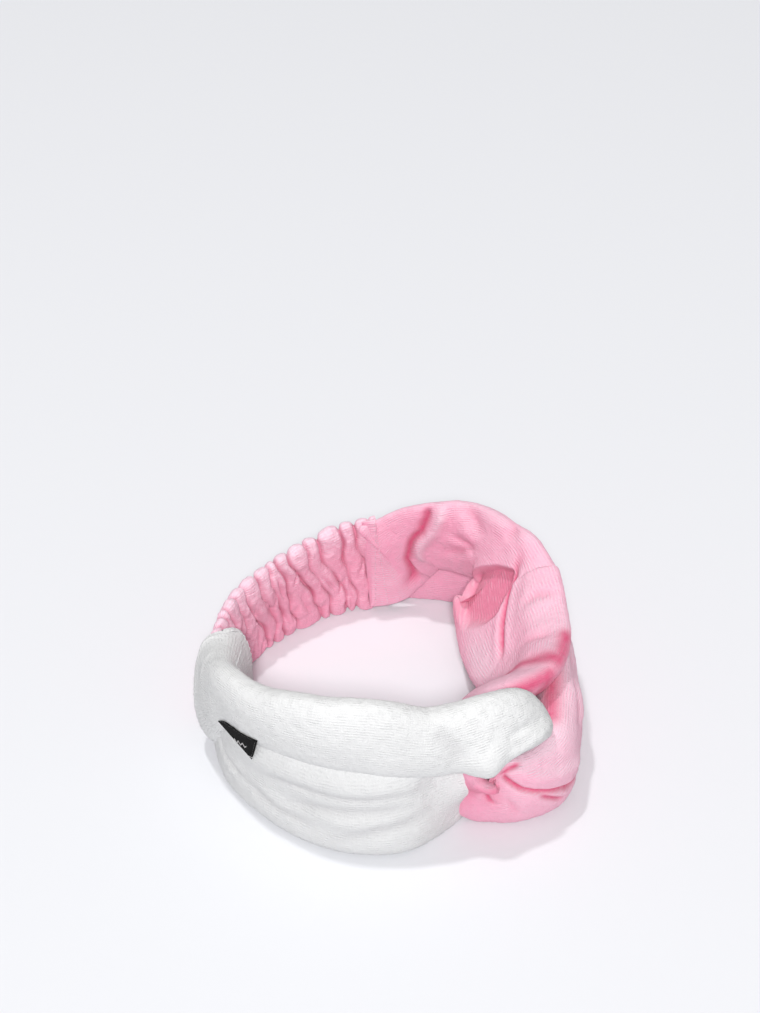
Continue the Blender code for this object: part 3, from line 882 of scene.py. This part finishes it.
def add_elastic():
    """The elastic inside the casing, its two tails held between the limbs of the bands."""
    route = [(41.5, 74.6, 25, 30, 1.4, 0), (47.5, 74.6, 25, 30, 1.4, 0)]
    route += [(*row[:3], 30, 1.4, 0) for row in CASING_ROUTE[1:-1]]
    route += [(136.5, 74.6, 23, 30, 1.4, 0), (142.5, 74.6, 23, 30, 1.4, 0)]
    surface = tube(route, 240, 64, wide=0.3, thick=0.5)
    begin_folds(surface)
    surface["push"] += 0.12 * np.sin(2 * math.pi * surface["s"] / 2.2)[:, None]
    settle(surface)
    return closed_outward(closed_tube("elastic_webbing", surface, MATERIALS["elastic"]))


# ------------------------------------------------------------------ the ruched casing
# each gather: angle at the top and at the bottom of the inner face, and its strength
GATHERS = (
    (133.0, 130.0, 0.7), (127.5, 124.5, 0.6), (122.5, 119.0, 0.5), (118.0, 115.5, 0.9), (111.5, 108.5, 0.5),
    (106.5, 95.0, 1.0), (98.5, 91.5, 0.6), (92.0, 87.0, 0.7), (87.6, 82.5, 1.0), (82.0, 71.0, 1.1),
    (75.5, 67.5, 0.5), (70.0, 61.0, 1.1), (61.0, 58.0, 0.9), (55.0, 51.5, 1.1), (50.5, 49.0, 0.4),
)


def gather_lines(v, level, inner, rng):
    """Where each gather runs, as an angle for every share round the casing, and how deep it is there."""
    turn = 2 * math.pi * v
    rows = []
    for top, bottom, strength in GATHERS:
        bow, slip = rng.uniform(-1.6, 1.6), rng.uniform(-2.5, 2.5)
        lag, beat = 6.28 * rng.rand(), 6.28 * rng.rand()
        line = bottom + (top - bottom) * level + (bow * inner + slip * (1 - inner)) * np.sin(math.pi * level)
        line = line + 0.7 * np.sin(3 * turn + lag) + 0.4 * np.sin(7 * turn + beat)
        depth = 0.72 + 0.42 * np.sin(2 * turn + beat) + 0.3 * np.sin(5 * turn + lag)
        rows.append((line, strength * np.clip(depth, 0.1, 1.2)))
    rows.sort(key=lambda row: row[0].mean())
    rows = [(np.full(len(v), 45.0), rows[0][1]), *rows, (np.full(len(v), 139.0), rows[-1][1])]
    return zip(*rows)


def pleats(angles, lines, depths):
    """The plump lobe between every two gathers, and the groove at each gather, with painted shade in the
    groove.
    """
    push = np.zeros_like(angles)
    fold = np.zeros_like(angles)
    for left, right in zip(lines, lines[1:]):
        gap = np.maximum(right - left, 0.5)
        f = (angles - left) / gap
        lobe = np.sqrt(np.clip(1 - (2 * f - 1)**2, 0, 1))
        push = np.where((f >= 0) & (f < 1), np.minimum(gap * 0.36, 2.7) * (lobe - 0.62), push)
    for line, depth in zip(lines[1:-1], depths[1:-1]):
        d = np.abs(angles - line) * CASING_DEGREE
        push = push - 1.3 * depth * np.exp(-(d / 0.9)**2)
        fold = np.maximum(fold, 0.8 * np.clip(depth, 0, 1) * np.exp(-(d / 0.8)**2))
    return push, fold


def casing_surface():
    surface = tube(CASING_ROUTE, *CASING_SIZE)
    begin_folds(surface)
    s, v = surface["s"], surface["v"]
    angles = np.interp(s, [0, s[-1]], [CASING_ROUTE[0][0], CASING_ROUTE[-1][0]])[:, None] + 0.0 * v[None, :]
    inner = 0.5 - 0.5 * np.cos(2 * math.pi * (v - 0.25))          # 0 on the outer face, 1 on the inner one
    level = 0.5 + 0.5 * np.cos(2 * math.pi * v)                   # 1 at the top edge, 0 at the bottom edge
    calm = (ramp(s, 0.0, 5.0) * ramp(s[-1] - s, 0.0, 5.0))[:, None]     # 0 at both joints, 1 between them
    rng = np.random.RandomState(4)
    push, fold = pleats(angles, *gather_lines(v, level, inner, rng))
    surface["push"] += push * (0.35 + 0.65 * calm)
    surface["fold"] = fold * calm
    for _ in range(34):
        at, place = rng.uniform(8, s[-1] - 8), rng.uniform(0.55, 0.95)
        tilt, reach = rng.uniform(-3.5, 3.5), rng.uniform(0.04, 0.09)
        wrinkle = ((at - tilt, place - reach), (at, place), (at + tilt, place + reach))
        slack(surface, wrinkle, rng.uniform(0.5, 1.0), rng.uniform(0.9, 1.6))
    surface["push"] += 0.9 * crumple(surface["P"], 8, 91) * calm
    # a painted highlight along the top edge, and paler and darker tone at random all over
    surface["nap_and_highlight"] += 0.34 * level**6 + 0.12 * crumple(surface["P"], 9, 33)
    pile_roughness(surface, 0.26, 95)
    settle(surface)
    return surface


def casing_mesh():
    """The gathered sleeve: a closed sheet of cloth round an open channel, and its outside as a surface."""
    outside = casing_surface()
    rings, corners = outside["P"].shape[:2]
    within = tube(CASING_ROUTE, rings, corners, shrink=CASING_WALL)
    within["P"] = within["P"] + within["N"] * (np.clip(outside["push"], -1.1, 1.2) * 0.75)[:, :, None]
    core_rings = (rings + 1) // 2
    picked = np.linspace(0, rings - 1, core_rings).astype(int)
    index = np.arange(rings * corners).reshape(rings, corners)
    core = rings * corners + np.arange(core_rings * corners).reshape(core_rings, corners)
    s, core_s = outside["s"], outside["s"][picked]
    width = outside["round"].mean()
    near = outside["v"] * width
    far = near + width / corners
    quads, uvs = [], []

    def strip(a, b, sa, sb):
        quads.append(np.stack([a, np.roll(a, -1), np.roll(b, -1), b], -1))
        corner_uvs = ((sa, near), (sa, far), (sb, far), (sb, near))
        uvs.append(np.stack([np.stack([0 * near + along, across], -1) for along, across in corner_uvs], 1))

    for k in range(rings - 1):
        strip(index[k], index[k + 1], s[k], s[k + 1])
    for k in range(core_rings - 1):
        strip(core[k + 1], core[k], core_s[k + 1], core_s[k])
    strip(core[0], index[0], -2.0, 0.0)
    strip(index[-1], core[-1], s[-1], s[-1] + 2.0)
    verts = np.vstack([outside["P"].reshape(-1, 3), within["P"][picked].reshape(-1, 3)])
    # painted shade on the inside of the channel
    fold = np.concatenate([outside["fold"].ravel(), np.full(core.size, 0.4)])
    nap_and_highlight = np.concatenate([outside["nap_and_highlight"].ravel(), np.zeros(core.size)])
    thing = mesh_piece("casing_cloth", verts, np.vstack(quads).tolist(), np.vstack(uvs).reshape(-1, 2) * MM,
                       MATERIALS["casing"], [("fold", fold), ("nap_and_highlight", nap_and_highlight)])
    return closed_outward(thing), outside


# ------------------------------------------------------------------ build
def closed_outward(thing):
    """Turn the faces outwards if the closed mesh came out inside out."""
    mesh = thing.data
    co = np.empty(len(mesh.vertices) * 3, dtype=np.float32)
    mesh.vertices.foreach_get("co", co)
    mesh.calc_loop_triangles()
    tris = np.empty(len(mesh.loop_triangles) * 3, dtype=np.int32)
    mesh.loop_triangles.foreach_get("vertices", tris)
    a, b, c = co.reshape(-1, 3).astype(float)[tris.reshape(-1, 3).T]
    if np.sum(np.cross(a, b) * c) < 0:
        mesh.flip_normals()
    return thing


def ring_path(s):
    return [(s, share) for share in np.linspace(0, 1, 41)]


def tack_path(first):
    """The zigzag of a bar tack, from its first share round the band."""
    return [(11.0 if k % 2 else 8.6, first + 0.01 * k) for k in range(9)]


def sew(white_skin, pink_skin, casing_skin):
    """Every seam and bar tack as its own rows of thread: name to (object, CAD node, slot)."""
    white_end, pink_end, casing_end = (skin["s"][-1] for skin in (white_skin, pink_skin, casing_skin))
    white_seam = [(s, 0.90 + 0.075 * ramp(s, 255, 300)) for s in np.linspace(24, white_end - 8, 60)]
    pink_seam = [(s, 0.20) for s in np.linspace(8, pink_end - 8, 60)]
    casing_seam = [(s, 0.43) for s in np.linspace(8, casing_end - 8, 80)]
    pink_joint = [ring_path(s) for s in (pink_end - 4.0, pink_end - 7.0, 3.0 - PINK_LAP)]
    tack = {"length": 2.2, "gap": 0.3}
    sewn = {}
    for name, cad_node, slot, skin, paths, manner in (
        ("white_seam_thread", "white_band_seam", "white_thread", white_skin, [white_seam], {}),
        ("pink_seam_thread", "pink_band_seam", "pink_thread", pink_skin, [pink_seam], {}),
        ("casing_seam_thread", "casing_seam", "pink_thread", casing_skin, [casing_seam], {}),
        ("white_joint_thread", "white_joint_seam", "white_thread", white_skin, [ring_path(5.2)], {}),
        ("pink_joint_thread", "pink_joint_seam", "pink_thread", pink_skin, pink_joint, {"lift": 0.3}),
        ("white_tack_thread", "white_end_bartack", "white_thread", white_skin, [tack_path(0.19)], tack),
        ("pink_tack_thread", "pink_end_bartack", "pink_thread", pink_skin, [tack_path(0.70)], tack),
    ):
        sewn[name] = (stitches(name, skin, paths, MATERIALS[slot], **manner), cad_node, slot)
    return sewn


def build():
    white_skin, pink_skin = white_surface(), pink_surface()
    white = closed_outward(closed_tube("white_cloth", white_skin, MATERIALS["white"]))
    pink = closed_outward(closed_tube("pink_cloth", pink_skin, MATERIALS["pink"]))
    casing, casing_skin = casing_mesh()
    elastic = add_elastic()
    label, label_thread = add_label(white_skin)
    sewn = sew(white_skin, pink_skin, casing_skin)
    for thing, cad_node, slot in (
        (white, "white_band", "white_towelling"),
        (pink, "pink_band", "pink_towelling"),
        (casing, "elastic_casing", "casing_towelling"),
        (elastic, "elastic_strip", "elastic"),
        (label, "woven_label", "label"),
        (label_thread, "label_stitching", "label_thread"),
        *sewn.values(),
    ):
        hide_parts(cad_node)
    for thing in (white, sewn["white_seam_thread"][0]):
        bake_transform(thing)
    for thing in (casing, elastic, sewn["casing_seam_thread"][0]):
        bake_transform(thing)
    pink_threads = [sewn[name][0] for name in ("pink_seam_thread", "pink_joint_thread", "pink_tack_thread")]
    for thing in (pink, *pink_threads):
        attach(thing, "pink_side")
    for thing in (label, label_thread, sewn["white_joint_thread"][0], sewn["white_tack_thread"][0]):
        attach(thing, "white_side")


# ------------------------------------------------------------------ light, floor and camera
def add_lamp(name, aim_from, distance, size, energy):
    lamp = bpy.data.lights.new(name, "AREA")
    lamp.shape = "DISK"
    lamp.size = size
    lamp.energy = energy
    thing = bpy.data.objects.new(name, lamp)
    bpy.context.scene.collection.objects.link(thing)
    way = np.array(aim_from, float)
    way /= np.linalg.norm(way)
    thing.location = np.array((0.0, 0.0, 0.03)) + way * distance
    thing.rotation_euler = (math.acos(way[2]), 0.0, math.atan2(way[0], -way[1]))


def light_and_floor():
    """Plain pale floor, even sky light, two lamps almost overhead and one behind the camera."""
    bpy.ops.mesh.primitive_plane_add(size=8.0, location=(0, 0, -0.0004))
    floor = bpy.context.object
    floor.name = "floor"
    material, _, shader = start_material("floor_paper", 1.0, specular=0.0)
    shader.inputs["Base Color"].default_value = (0.735, 0.741, 0.768, 1.0)
    floor.data.materials.append(material)
    world = bpy.data.worlds.new("sky")
    bpy.context.scene.world = world
    world.use_nodes = True
    sky = world.node_tree.nodes["Background"].inputs
    sky["Color"].default_value = (1.0, 1.0, 1.0, 1.0)
    sky["Strength"].default_value = 0.30
    add_lamp("key_lamp", (-0.07, 0.18, 1.0), 4.0, 0.24, 48.0)
    add_lamp("overhead_lamp", (0.0, 0.02, 1.0), 4.0, 2.6, 14.0)
    add_lamp("front_lamp", (-0.675, -0.662, 0.857), 5.0, 0.8, 205.0)


def add_camera():
    camera = bpy.data.cameras.new("camera")
    camera.lens = CAMERA_LENS
    camera.sensor_width = 36.0
    camera.sensor_fit = "AUTO"
    camera.clip_start = 0.05
    camera.clip_end = 20.0
    camera.dof.use_dof = False
    thing = bpy.data.objects.new("camera", camera)
    thing.location = CAMERA_PLACE
    thing.rotation_euler = (math.radians(90.0 - CAMERA_ELEVATION), 0.0, math.radians(CAMERA_AZIMUTH))
    bpy.context.scene.collection.objects.link(thing)
    bpy.context.scene.camera = thing


bpy.context.scene.view_settings.view_transform = "Standard"
add_camera()
light_and_floor()
build()
